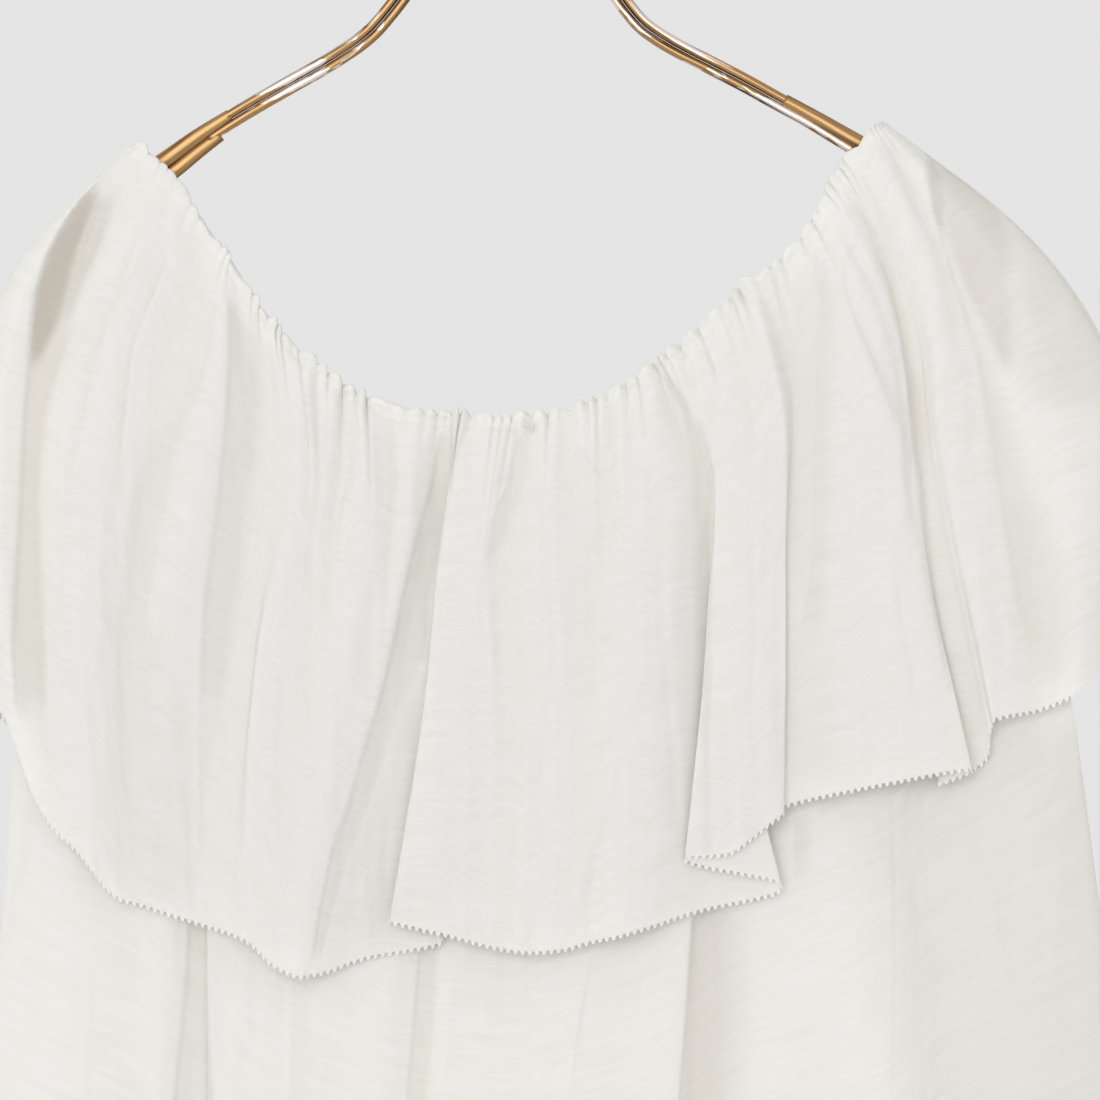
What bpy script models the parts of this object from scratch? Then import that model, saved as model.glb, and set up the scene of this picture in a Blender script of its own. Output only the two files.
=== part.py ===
"""Off-shoulder top with a deep flounce, hanging flat on a metal hanger.

+X is the photograph's right, +Y points away from the viewer and +Z is up. The origin is the inside
of the hook's top, where a rail carries the hanger. Tables are in millimetres.
"""

from collections import namedtuple
import math

import bmesh
import bpy
import numpy as np

MM = 0.001
WALL = 1.2
SEAM_GAP = 0.3
SEAM_DEPTH = (WALL + SEAM_GAP) / 2

ROD_RADIUS = 2.4
ROD_SPACING = 5.1
HOOK_INNER_RADIUS = 19.0
COLLAR_RADIUS = 6.5
COLLAR_TOP = -59.0
COLLAR_BOTTOM = -75.7
SLEEVE_FLATNESS = 0.5

BAND_RADIUS = 3.8
BAND_DEPTH = 9.5
BAND_DROP = 8.0
BAND_GATHER = 0.12
FLOUNCE_NECK_DEPTH = 15.1
BODY_DROP = 13.2
UNDERARM = -543.5
ARMHOLE_DEPTH = 6.5
ARMHOLE_START = 0.2
ARMHOLE_END = 24.0
GATHER_DEPTH = 1.3
GATHER_RISE = 1.2
GATHER_FADE = 0.09

FLOUNCE_STATIONS = (0.0, 0.2, 0.55, 1.0)
BODY_STATIONS = (0.0, 0.35, 0.7, 1.0)
FLOUNCE_ROWS = (0.0, 0.025, 0.09, 0.2, 0.36, 0.58, 0.8, 1.0)
BODY_ROWS = (0.0, 0.12, 0.35, 0.47, 0.53, 0.75, 1.0)

# Top edge of the gathered neckline, seen from the front
Edge = namedtuple("Edge", "x z")
NECKLINE = [
    Edge(-192.0, -235.5),
    Edge(-182.0, -240.0),
    Edge(-171.0, -254.0),
    Edge(-159.0, -270.0),
    Edge(-143.0, -293.0),
    Edge(-130.0, -314.0),
    Edge(-110.0, -337.0),
    Edge(-88.0, -355.0),
    Edge(-62.0, -368.0),
    Edge(-30.0, -372.0),
    Edge(10.0, -373.0),
    Edge(40.0, -366.0),
    Edge(62.0, -354.0),
    Edge(82.0, -339.0),
    Edge(100.0, -324.0),
    Edge(120.0, -304.0),
    Edge(145.0, -284.0),
    Edge(156.0, -265.0),
    Edge(165.0, -248.0),
    Edge(176.0, -233.0),
    Edge(188.5, -225.5),
]

# Each row is one line down the cloth. gather counts the neckline's gathers from the left side seam.
# neck, upper, middle and hem give its x at the four stations, hem_z its lower end, and the last
# three how far it stands from the hanger's plane at the upper, middle and hem stations.
Fold = namedtuple(
    "Fold", "name gather neck upper middle hem hem_z upper_out middle_out hem_out"
)
FLOUNCE_FRONT = [
    Fold("left_seam", 0, -192.0, -246, -268, -266, -521, 0.75, 0.75, 0.75),
    Fold("left_edge", 1, -190.5, -238, -258, -254, -523, 14, 18, 19),
    Fold("left_hollow", 2, -187.0, -225, -242, -240, -561, 8, 10, 18),
    Fold("left_panel", 4, -178.5, -200, -215, -216, -591, 24, 29, 30),
    Fold("left_shade", 7, -161.0, -181, -197, -200, -611, 22, 24, 22),
    Fold("thin_furrow", 10, -145.0, -158, -181, -181, -618, 19, 20, 18),
    Fold("narrow_ridge", 11, -141.5, -146, -168, -166, -623, 28, 26, 18),
    Fold("broad_furrow", 12, -134.5, -133, -145, -156, -626, 17, 17, 19),
    Fold("tall_ridge", 16, -113.5, -106, -125, -133, -634, 29, 34, 35),
    Fold("ridge_crease", 20, -81.0, -82, -97, -114, -649, 25, 30, 36),
    Fold("lobe_ridge", 21, -73.0, -71, -87, -106, -652, 30, 32, 37),
    Fold("lobe_side", 22, -61.5, -62, -78, -99, -651, 24, 27, 31),
    Fold("small_ridge", 23, -48.5, -52, -71, -90, -649, 27, 23, 23),
    Fold("centre_furrow", 24, -37.0, -41, -59, -73, -643, 17, 16, 16),
    Fold("centre_tuck", 25, -30.0, -32, -39, -35, -635, 18.2, 18, 18),
    Fold("centre_turn", 25.33, -28.4, -31, -39, -36, -632, 21, 22, 23.5),
    Fold("centre_edge", 26, -25.0, -34, -43, -57, -626, 23, 26, 30),
    Fold("centre_ridge", 28, -10.0, -16, -27, -37, -630, 31, 34, 36),
    Fold("centre_line", 30, 6.0, -2, 0, -1, -639, 23, 28, 30),
    Fold("middle_ridge", 32, 24.0, 24, 23, 22, -639, 29, 32, 34),
    Fold("crease_hollow", 34, 43.0, 44, 40, 38, -635, 25, 29, 32),
    Fold("right_ridge", 37, 64.0, 71, 74, 69, -627, 31, 34, 35),
    Fold("pleat_mouth", 38, 72.0, 91, 93, 95, -619, 18, 17, 17),
    Fold("pleat_tuck", 39, 76.0, 97, 106, 134, -609, 18.2, 18.3, 18.5),
    Fold("pleat_turn", 39.33, 78.0, 98.5, 105, 133, -605, 21, 22.5, 24),
    Fold("pleat_edge", 40, 83.0, 99, 98, 96, -597, 23.5, 25.5, 30),
    Fold("side_ridge", 42, 96.5, 111, 112, 110, -590, 31, 35, 37),
    Fold("side_face", 45, 116.5, 131, 135, 134, -572, 30, 31, 34),
    Fold("soft_furrow", 48, 138.0, 152, 148, 151, -563, 19, 22, 26),
    Fold("shoulder_ridge", 49, 148.0, 169, 177, 184, -556, 31, 35, 37),
    Fold("curl_edge", 52, 159.0, 187, 202, 228, -550, 25, 27, 31),
    Fold("curl_under", 53, 163.0, 190.5, 206, 213, -556, 17.5, 18.5, 22.5),
    Fold("curl_tuck", 54, 165.0, 194.5, 211, 236, -545, 16.6, 16.8, 17),
    Fold("wing_edge", 55, 167.5, 196, 212.5, 239, -530, 21, 22, 25),
    Fold("wing_ridge", 57, 180.0, 206, 224, 246, -522, 28, 31, 33),
    Fold("wing_hollow", 58, 184.0, 216, 246, 266, -518, 15, 18, 20),
    Fold("wing_outer", 59, 187.0, 237, 278, 285, -508, 16, 21, 23),
    Fold("right_seam", 60, 188.5, 254, 309, 305, -485, 0.75, 0.75, 0.75),
]
FLOUNCE_BACK = [
    Fold("left_seam", 0, -192.0, -246, -268, -266, -521, 0.75, 0.75, 0.75),
    Fold("ridge_1", 2, -188.0, -233, -250, -248, -532, 15, 19, 20),
    Fold("furrow_1", 4, -180.0, -215, -226, -228, -565, 9, 12, 14),
    Fold("ridge_2", 7, -160.0, -188, -200, -200, -596, 22, 26, 28),
    Fold("furrow_2", 10, -143.0, -161, -171, -173, -612, 17.5, 18, 19),
    Fold("ridge_3", 13, -125.0, -136, -143, -141, -627, 26, 29, 31),
    Fold("furrow_3", 17, -101.0, -106, -111, -113, -637, 18, 18, 20),
    Fold("ridge_4", 20, -76.0, -80, -83, -83, -645, 27, 30, 33),
    Fold("furrow_4", 23, -53.0, -52, -53, -56, -646, 19, 20, 22),
    Fold("ridge_5", 26, -28.0, -28, -26, -26, -642, 27, 31, 33),
    Fold("furrow_5", 29, -3.0, -2, 0, 1, -640, 19, 19, 20),
    Fold("ridge_6", 32, 24.0, 27, 29, 32, -642, 28, 31, 34),
    Fold("furrow_6", 35, 49.0, 55, 58, 60, -637, 19, 19, 20),
    Fold("ridge_7", 38, 71.0, 84, 89, 92, -627, 27, 30, 32),
    Fold("furrow_7", 41, 94.0, 111, 118, 122, -610, 18, 18, 20),
    Fold("ridge_8", 44, 118.0, 139, 151, 156, -590, 26, 29, 31),
    Fold("furrow_8", 47, 141.0, 169, 183, 189, -565, 17.5, 18, 19),
    Fold("ridge_9", 50, 163.0, 194, 214, 222, -547, 23, 27, 29),
    Fold("furrow_9", 52, 177.0, 214, 244, 252, -527, 13, 16, 18),
    Fold("ridge_10", 54, 185.0, 236, 279, 284, -509, 16, 20, 22),
    Fold("right_seam", 56, 188.5, 254, 309, 305, -485, 0.75, 0.75, 0.75),
]
BODY_FRONT = [
    Fold("left_side", 0, -176.0, -241, -261, -292, -840, 6.5, 0.75, 0.75),
    Fold("left_ridge", 1, -165.0, -218, -225, -233, -840, 12, 13.5, 18),
    Fold("left_dip", 2, -155.0, -190, -192, -195, -841, 9.5, 10.5, 13),
    Fold("left_rise", 3, -147.0, -173, -176, -181, -842, 12, 14, 18),
    Fold("left_furrow", 4, -140.0, -158, -161, -166, -842, 6.8, 6.8, 7.5),
    Fold("left_tuck", 5, -136.0, -150, -148, -146, -842, 8.8, 8.9, 9.6),
    Fold("left_lap", 6, -130.0, -152, -152, -151, -842, 11, 12, 14),
    Fold("wide_ridge", 7, -105.0, -128, -131, -133, -843, 13, 15, 20),
    Fold("wide_dip", 8, -80.0, -86, -88, -91, -844, 10, 11, 14),
    Fold("centre_rise", 9, -60.0, -60, -65, -70, -844, 13, 14.5, 19),
    Fold("centre_furrow", 10, -38.0, -41, -46, -52, -844, 7, 7, 8),
    Fold("centre_ridge", 11, -25.0, -28, -32, -37, -844, 13, 15, 19),
    Fold("centre_dip", 12, 5.0, 4, 2, -1, -844, 10, 11, 14),
    Fold("crease_ridge", 13, 45.0, 46, 30, 17, -844, 13, 15, 20),
    Fold("crease_dip", 14, 58.0, 64, 54, 44, -843, 10.5, 12, 15),
    Fold("lap_ridge", 15, 75.0, 84, 78, 72, -843, 13, 15, 20),
    Fold("lap_edge", 16, 85.0, 94, 86, 79, -842, 11, 13, 16),
    Fold("lap_furrow", 17, 92.0, 98, 95, 92, -842, 7, 7, 8),
    Fold("right_slope", 18, 110.0, 119, 121, 124, -842, 9.5, 10, 12),
    Fold("right_ridge", 19, 140.0, 179, 188, 194, -841, 13, 15, 20),
    Fold("right_dip", 20, 153.0, 206, 211, 216, -840, 9, 10, 12),
    Fold("side_ridge", 21, 160.0, 236, 246, 259, -838, 12.5, 14.5, 18),
    Fold("side_dip", 22, 166.0, 254, 276, 291, -836, 8.5, 9, 10),
    Fold("right_side", 23, 173.0, 266, 301, 328, -834, 6.5, 0.75, 0.75),
]
BODY_BACK = [
    Fold("left_side", 0, -176.0, -241, -261, -292, -840, 6.5, 0.75, 0.75),
    Fold("ridge_1", 1, -162.0, -212, -220, -230, -840, 12, 13.5, 17),
    Fold("furrow_1", 2, -145.0, -172, -176, -184, -841, 7.5, 8, 9),
    Fold("ridge_2", 3, -120.0, -136, -140, -146, -842, 12.5, 14, 18),
    Fold("furrow_2", 4, -92.0, -98, -101, -106, -842, 7.5, 8, 9),
    Fold("ridge_3", 5, -62.0, -62, -64, -67, -843, 13, 14.5, 18),
    Fold("furrow_3", 6, -32.0, -32, -32, -32, -843, 7.5, 8, 9),
    Fold("ridge_4", 7, 0.0, 2, 4, 6, -843, 13, 14.5, 18),
    Fold("furrow_4", 8, 32.0, 40, 44, 48, -842, 7.5, 8, 9),
    Fold("ridge_5", 9, 64.0, 80, 86, 92, -842, 13, 14.5, 18),
    Fold("furrow_5", 10, 94.0, 120, 130, 140, -841, 7.5, 8, 9),
    Fold("ridge_6", 11, 122.0, 164, 178, 190, -840, 12.5, 14, 18),
    Fold("furrow_6", 12, 148.0, 208, 226, 242, -838, 7.5, 8, 9),
    Fold("ridge_7", 13, 163.0, 244, 266, 285, -836, 12, 13.5, 16),
    Fold("right_side", 14, 173.0, 266, 301, 328, -834, 6.5, 0.75, 0.75),
]

# The hanger's bent arms, from each shoulder to the neck, midway between the paired rods
LEFT_ARM = [
    (-142.0, -225.2),
    (-116.0, -210.0),
    (-88.0, -194.0),
    (-70.0, -181.0),
    (-56.0, -165.0),
    (-43.0, -146.0),
    (-30.0, -125.0),
    (-16.0, -103.0),
    (-7.5, -89.0),
]
RIGHT_ARM = [
    (134.0, -216.2),
    (117.5, -207.0),
    (99.0, -197.5),
    (80.5, -188.0),
    (65.0, -177.0),
    (55.0, -163.0),
    (43.0, -145.0),
    (30.0, -125.0),
    (16.0, -103.0),
    (7.5, -89.0),
]

# Flared shoulder sleeves, as centre line points with half the height there
Sleeve = namedtuple("Sleeve", "x z half")
LEFT_SLEEVE = [
    Sleeve(-142.6, -225.6, 5.6),
    Sleeve(-158.0, -236.0, 6.8),
    Sleeve(-174.8, -248.3, 8.0),
    Sleeve(-190.0, -258.0, 8.0),
    Sleeve(-198.0, -263.0, 7.0),
    Sleeve(-202.0, -265.5, 4.5),
]
RIGHT_SLEEVE = [
    Sleeve(134.3, -216.4, 5.0),
    Sleeve(153.0, -226.5, 5.5),
    Sleeve(173.3, -237.4, 6.0),
    Sleeve(189.0, -245.5, 6.2),
    Sleeve(197.0, -249.5, 5.4),
    Sleeve(201.0, -251.5, 3.4),
]


def smooth(knots, values, at):
    """Cubic through the values, with each knot's slope taken from its neighbours."""
    knots = np.asarray(knots, float)
    values = np.asarray(values, float)
    steps = np.diff(knots)
    rises = np.diff(values, axis=0) / steps.reshape(-1, *[1] * (values.ndim - 1))
    slopes = np.empty_like(values)
    slopes[0], slopes[-1] = rises[0], rises[-1]
    before = steps[:-1].reshape(-1, *[1] * (values.ndim - 1))
    after = steps[1:].reshape(-1, *[1] * (values.ndim - 1))
    slopes[1:-1] = (rises[:-1] * after + rises[1:] * before) / (before + after)
    k = int(np.clip(np.searchsorted(knots, at, side="right") - 1, 0, len(steps) - 1))
    h = steps[k]
    t = (at - knots[k]) / h
    return (
        values[k] * (2 * t**3 - 3 * t**2 + 1)
        + slopes[k] * h * (t**3 - 2 * t**2 + t)
        + values[k + 1] * (3 * t**2 - 2 * t**3)
        + slopes[k + 1] * h * (t**3 - t**2)
    )


def neck_height(x):
    return float(smooth([e.x for e in NECKLINE], [e.z for e in NECKLINE], x))


def below_neck(x, drop):
    """The point this far inside the cloth from the neckline at x."""
    slope = (neck_height(x + 1.0) - neck_height(x - 1.0)) / 2.0
    length = math.hypot(1.0, slope)
    return x + drop * slope / length, neck_height(x) - drop / length


def turned_depth(x, low, high, depth):
    """Depth of a loop that turns from front to back within its own depth of either end."""
    inside = min(x - low, high - x, depth) / depth
    return depth * math.sqrt(max(0.0, 1.0 - (1.0 - inside) ** 2))


def flounce_top(fold):
    depth = turned_depth(fold.neck, NECKLINE[0].x, NECKLINE[-1].x, FLOUNCE_NECK_DEPTH)
    return fold.neck, neck_height(fold.neck), max(depth, SEAM_DEPTH)


def body_top(fold):
    return *below_neck(fold.neck, BODY_DROP), BAND_DEPTH


def side_depth(height):
    """The body's side edges stand apart along the armhole and meet below it."""
    closing = 0.5 + (height - UNDERARM) / ARMHOLE_END
    return SEAM_DEPTH + (ARMHOLE_DEPTH - SEAM_DEPTH) * min(max(closing, 0.0), 1.0)


def section(folds, top_of, stations, v, armholes):
    """Each fold's place at v, from 0 at the top to 1 at the hem: x, depth and z."""
    rows = []
    for fold in folds:
        x0, z0, out0 = top_of(fold)
        x = smooth(stations, (x0, fold.upper, fold.middle, fold.hem), v)
        out = smooth(stations, (out0, fold.upper_out, fold.middle_out, fold.hem_out), v)
        z = z0 + (fold.hem_z - z0) * v
        if armholes and fold in (folds[0], folds[-1]):
            out = max(side_depth(z), out0 + (ARMHOLE_DEPTH - out0) * v / ARMHOLE_START)
        rows.append((x, max(out, SEAM_DEPTH), z))
    first, last = rows[0], rows[-1]
    turned = [(rows[1][0], 2 * first[1] - rows[1][1], rows[1][2])]
    turned_back = [(rows[-2][0], 2 * last[1] - rows[-2][1], rows[-2][2])]
    return np.array(turned + rows + turned_back)


def cloth(name, folds, top_of, stations, rows, per_gather, side, armholes, material):
    """A gathered cloth wall: a grid whose columns follow the folds and whose rows run to the hem."""
    knots = [fold.gather for fold in folds]
    knots = [knots[0] - 1.0, *knots, knots[-1] + 1.0]
    columns = int(round(folds[-1].gather * per_gather))
    bm = bmesh.new()
    bmesh.ops.create_grid(bm, x_segments=columns, y_segments=len(rows) - 1, size=0.5)
    sections = [section(folds, top_of, stations, v, armholes) for v in rows]
    for vert in bm.verts:
        at = (vert.co.x + 0.5) * folds[-1].gather
        row = int(round((vert.co.y + 0.5) * (len(rows) - 1)))
        x, out, z = smooth(knots, sections[row], at)
        if not armholes:
            ends = min(at, folds[-1].gather - at, 2.0) / 2.0
            wave = math.cos(2 * math.pi * at) * math.exp(-rows[row] / GATHER_FADE) * ends
            out += GATHER_DEPTH * wave
            z += GATHER_RISE * wave * (row == 0)
        vert.co = (x * MM, side * out * MM, z * MM)
    mesh = bpy.data.meshes.new(name)
    bm.to_mesh(mesh)
    bm.free()
    obj = add(name, mesh, material)
    wall = obj.modifiers.new("wall", "SOLIDIFY")
    wall.thickness = WALL * MM
    wall.offset = 0.0
    wall.use_even_offset = False
    return obj


def tube(name, points, radii, material, sides=2):
    """A rod through the points, in millimetres, with its radius at each and closed ends."""
    curve = bpy.data.curves.new(name, "CURVE")
    curve.dimensions = "3D"
    curve.bevel_depth = MM
    curve.bevel_resolution = sides
    curve.use_fill_caps = True
    spline = curve.splines.new("POLY")
    spline.points.add(len(points) - 1)
    for point, place, radius in zip(spline.points, points, radii):
        point.co = (place[0] * MM, place[1] * MM, place[2] * MM, 1.0)
        point.radius = radius
    return add(name, curve, material)


def add(name, data, material):
    obj = bpy.data.objects.new(name, data)
    data.materials.append(material)
    parts.objects.link(obj)
    return obj


def finish(name, colour, roughness, metallic):
    material = bpy.data.materials.new(name)
    material.use_nodes = True
    shader = material.node_tree.nodes["Principled BSDF"]
    shader.inputs["Base Color"].default_value = (*colour, 1.0)
    shader.inputs["Roughness"].default_value = roughness
    shader.inputs["Metallic"].default_value = metallic
    return material


def through(points, count):
    """Evenly spaced points on a smooth curve through the given ones."""
    points = np.asarray(points, float)
    lengths = np.concatenate([[0.0], np.cumsum(np.linalg.norm(np.diff(points, axis=0), axis=1))])
    return np.array([smooth(lengths, points, at) for at in np.linspace(0, lengths[-1], count)])


def beside(points, offset):
    """The same route moved sideways in the hanger's plane."""
    ahead = np.gradient(points, axis=0)
    ahead /= np.linalg.norm(ahead, axis=1)[:, None]
    return points + offset * np.column_stack([-ahead[:, 1], ahead[:, 0]])


def in_plane(points):
    return [(x, 0.0, z) for x, z in points]


def rod(name, points, material):
    return tube(name, in_plane(points), [ROD_RADIUS] * len(points), material)


def hanger(gold):
    """Hook, collar, the paired rods of each arm and the flared sleeves at the shoulders."""
    hook_radius = HOOK_INNER_RADIUS + ROD_RADIUS
    arc = []
    for degrees in range(-35, 196, 15):
        turn = math.radians(degrees)
        arc.append((hook_radius * math.cos(turn), hook_radius * math.sin(turn) - HOOK_INNER_RADIUS))
    stem = through([(0, COLLAR_TOP + SEAM_GAP), (0, -52), (6, -43), arc[0]], 6)
    rod("hanger_hook", [*stem[:-1], *arc], gold)
    tube("hanger_collar", [(0, 0, COLLAR_BOTTOM), (0, 0, COLLAR_TOP)], [COLLAR_RADIUS] * 2, gold, 4)
    left = through(LEFT_ARM, 16)
    right = through(RIGHT_ARM, 16)
    half = ROD_SPACING / 2
    neck = [(2.75, COLLAR_BOTTOM - 3.0), (2.75, COLLAR_BOTTOM - SEAM_GAP)]
    rod("hanger_rod_upper_left", [*beside(left, half), *[(-x, z) for x, z in neck]], gold)
    rod("hanger_rod_upper_right", [*beside(right, -half), *neck], gold)
    lower = [*beside(left, -half), (0.0, -85.5), *beside(right, half)[::-1]]
    rod("hanger_rod_lower", lower, gold)
    for side, rows in (("left", LEFT_SLEEVE), ("right", RIGHT_SLEEVE)):
        smoothed = through([(r.x, r.z, r.half) for r in rows], 12)
        obj = tube(
            f"hanger_sleeve_{side}",
            in_plane([(x, z) for x, z, _ in smoothed]),
            [half_height for _, _, half_height in smoothed],
            gold,
            4,
        )
        obj.scale.y = SLEEVE_FLATNESS


def sleeve_top(rows, x):
    """Height of a sleeve's upper edge over x, and the slope there."""
    rows = sorted(rows, key=lambda row: row.x)
    k = next(k for k in range(len(rows) - 1) if rows[k].x <= x <= rows[k + 1].x)
    a, b = rows[k], rows[k + 1]
    slope = (b.z - a.z) / (b.x - a.x)
    rise = a.half + (b.half - a.half) * (x - a.x) / (b.x - a.x)
    return a.z + slope * (x - a.x) + rise * math.hypot(1.0, slope), slope


def band(name, side, gathers, material):
    """The elastic casing: a gathered roll along the neckline that rests on both sleeves."""
    inset = 3.0
    low, high = NECKLINE[0].x + inset, NECKLINE[-1].x - inset
    ends = []
    for x, sleeve in ((low, LEFT_SLEEVE), (high, RIGHT_SLEEVE)):
        top, slope = sleeve_top(sleeve, x)
        ends.append((x, top + (BAND_RADIUS + SEAM_GAP) * math.hypot(1.0, slope)))
    route = [ends[0], *[below_neck(e.x, BAND_DROP) for e in NECKLINE[3:-3]], ends[1]]
    points = []
    for x, z in through(route, 2 * gathers):
        points.append((x, side * turned_depth(x, low, high, BAND_DEPTH), z))
    points[0] = (low, side * 3.0, ends[0][1])
    points[-1] = (high, side * 3.0, ends[1][1])
    points = [(low, side * SEAM_GAP / 2, ends[0][1]), *points, (high, side * SEAM_GAP / 2, ends[1][1])]
    radii = [BAND_RADIUS * (1.0 - BAND_GATHER * (k % 2)) for k in range(len(points))]
    tube(name, points, radii, material, 1)


for leftover in list(bpy.data.objects):
    bpy.data.objects.remove(leftover)
parts = bpy.data.collections.new("off_shoulder_top_on_hanger")
bpy.context.scene.collection.children.link(parts)

linen = finish("ivory_linen", (0.80, 0.79, 0.75), 0.9, 0.0)
gold = finish("worn_gold", (0.45, 0.27, 0.10), 0.3, 1.0)

hanger(gold)
band("neck_band_front", -1, 46, linen)
band("neck_band_back", 1, 42, linen)
cloth("flounce_front", FLOUNCE_FRONT, flounce_top, FLOUNCE_STATIONS, FLOUNCE_ROWS, 3, -1, False, linen)
cloth("flounce_back", FLOUNCE_BACK, flounce_top, FLOUNCE_STATIONS, FLOUNCE_ROWS, 2, 1, False, linen)
cloth("body_front", BODY_FRONT, body_top, BODY_STATIONS, BODY_ROWS, 3, -1, True, linen)
cloth("body_back", BODY_BACK, body_top, BODY_STATIONS, BODY_ROWS, 3, 1, True, linen)
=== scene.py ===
"""Dresses the ivory off-shoulder top and its worn gold hanger, and sets up the studio around them.

+X is the picture's right, +Y points away from the camera and +Z is up. The origin is the inside of
the hook's top. Tables are in millimetres; out is how far a point stands from the hanger's plane.
"""

from collections import namedtuple
import math

import bmesh
import bpy
import numpy as np
from mathutils import Matrix, Vector


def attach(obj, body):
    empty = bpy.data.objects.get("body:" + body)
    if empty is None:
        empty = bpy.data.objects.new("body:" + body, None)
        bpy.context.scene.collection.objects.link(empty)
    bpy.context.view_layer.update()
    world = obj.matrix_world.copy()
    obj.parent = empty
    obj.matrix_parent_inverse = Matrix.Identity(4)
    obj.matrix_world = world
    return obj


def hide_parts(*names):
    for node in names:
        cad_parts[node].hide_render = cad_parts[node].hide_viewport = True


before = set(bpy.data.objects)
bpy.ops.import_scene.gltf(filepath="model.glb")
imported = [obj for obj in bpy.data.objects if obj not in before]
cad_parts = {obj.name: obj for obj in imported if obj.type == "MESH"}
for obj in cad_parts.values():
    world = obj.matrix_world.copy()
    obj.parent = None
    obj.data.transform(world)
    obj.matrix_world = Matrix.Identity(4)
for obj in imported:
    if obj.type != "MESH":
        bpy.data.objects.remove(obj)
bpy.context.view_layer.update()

MM = 0.001
CLOTH = 0.35
SEAM_DEPTH = 0.45
UNDERARM = -543.5
ARMHOLE_DEPTH = 6.5
ARMHOLE_START = 0.2
ARMHOLE_END = 24.0
FLOUNCE_NECK_DEPTH = 15.1
BODY_DROP = 13.2
BAND_DEPTH = 9.5
FLOOR_HEIGHT = -1.6
WORLD_LIGHT = 0.78
SUN_LIGHT = 1.2
BACK_LIGHT = 0.5
SUN_TOWARDS = (0.25, 1.0, -0.18)
BACK_TOWARDS = (0.9, -0.8, -0.4)
SUN_ANGLE = 52.0
FLOOR_HALF = 8.0
CAMERA_PLACE = (0.019, -2.768, -0.440)
CAMERA_LENS = 180.0
GOLD = (0.43, 0.26, 0.115)
PICOT_PITCH = 3.6
PICOT_HEIGHT = 2.3
FOLD_REACH = 34.0
FOLD_DEPTH = 6.0
BAND_DIP = 1.1
BACK_RUFFLE = 0.2
HEM_STITCHES = (0.985, 0.991, 0.996)

# How strong the gathers are along the neckline, by their x
GATHER_X = (-185, -150, -125, -95, 138, 156, 182)
GATHER_STRENGTH = (0.1, 0.2, 0.5, 0.95, 1, 0.5, 0.3)

FLOUNCE_STATIONS = (0.0, 0.2, 0.55, 1.0)
BODY_STATIONS = (0.0, 0.35, 0.7, 1.0)

Edge = namedtuple("Edge", "x z")
NECKLINE = [
    Edge(-192.0, -235.5),
    Edge(-182.0, -240.0),
    Edge(-171.0, -254.0),
    Edge(-159.0, -270.0),
    Edge(-143.0, -293.0),
    Edge(-130.0, -314.0),
    Edge(-110.0, -337.0),
    Edge(-88.0, -355.0),
    Edge(-62.0, -368.0),
    Edge(-30.0, -372.0),
    Edge(10.0, -373.0),
    Edge(40.0, -366.0),
    Edge(62.0, -354.0),
    Edge(82.0, -339.0),
    Edge(100.0, -324.0),
    Edge(120.0, -304.0),
    Edge(145.0, -284.0),
    Edge(156.0, -265.0),
    Edge(165.0, -248.0),
    Edge(176.0, -233.0),
    Edge(188.5, -225.5),
]

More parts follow.
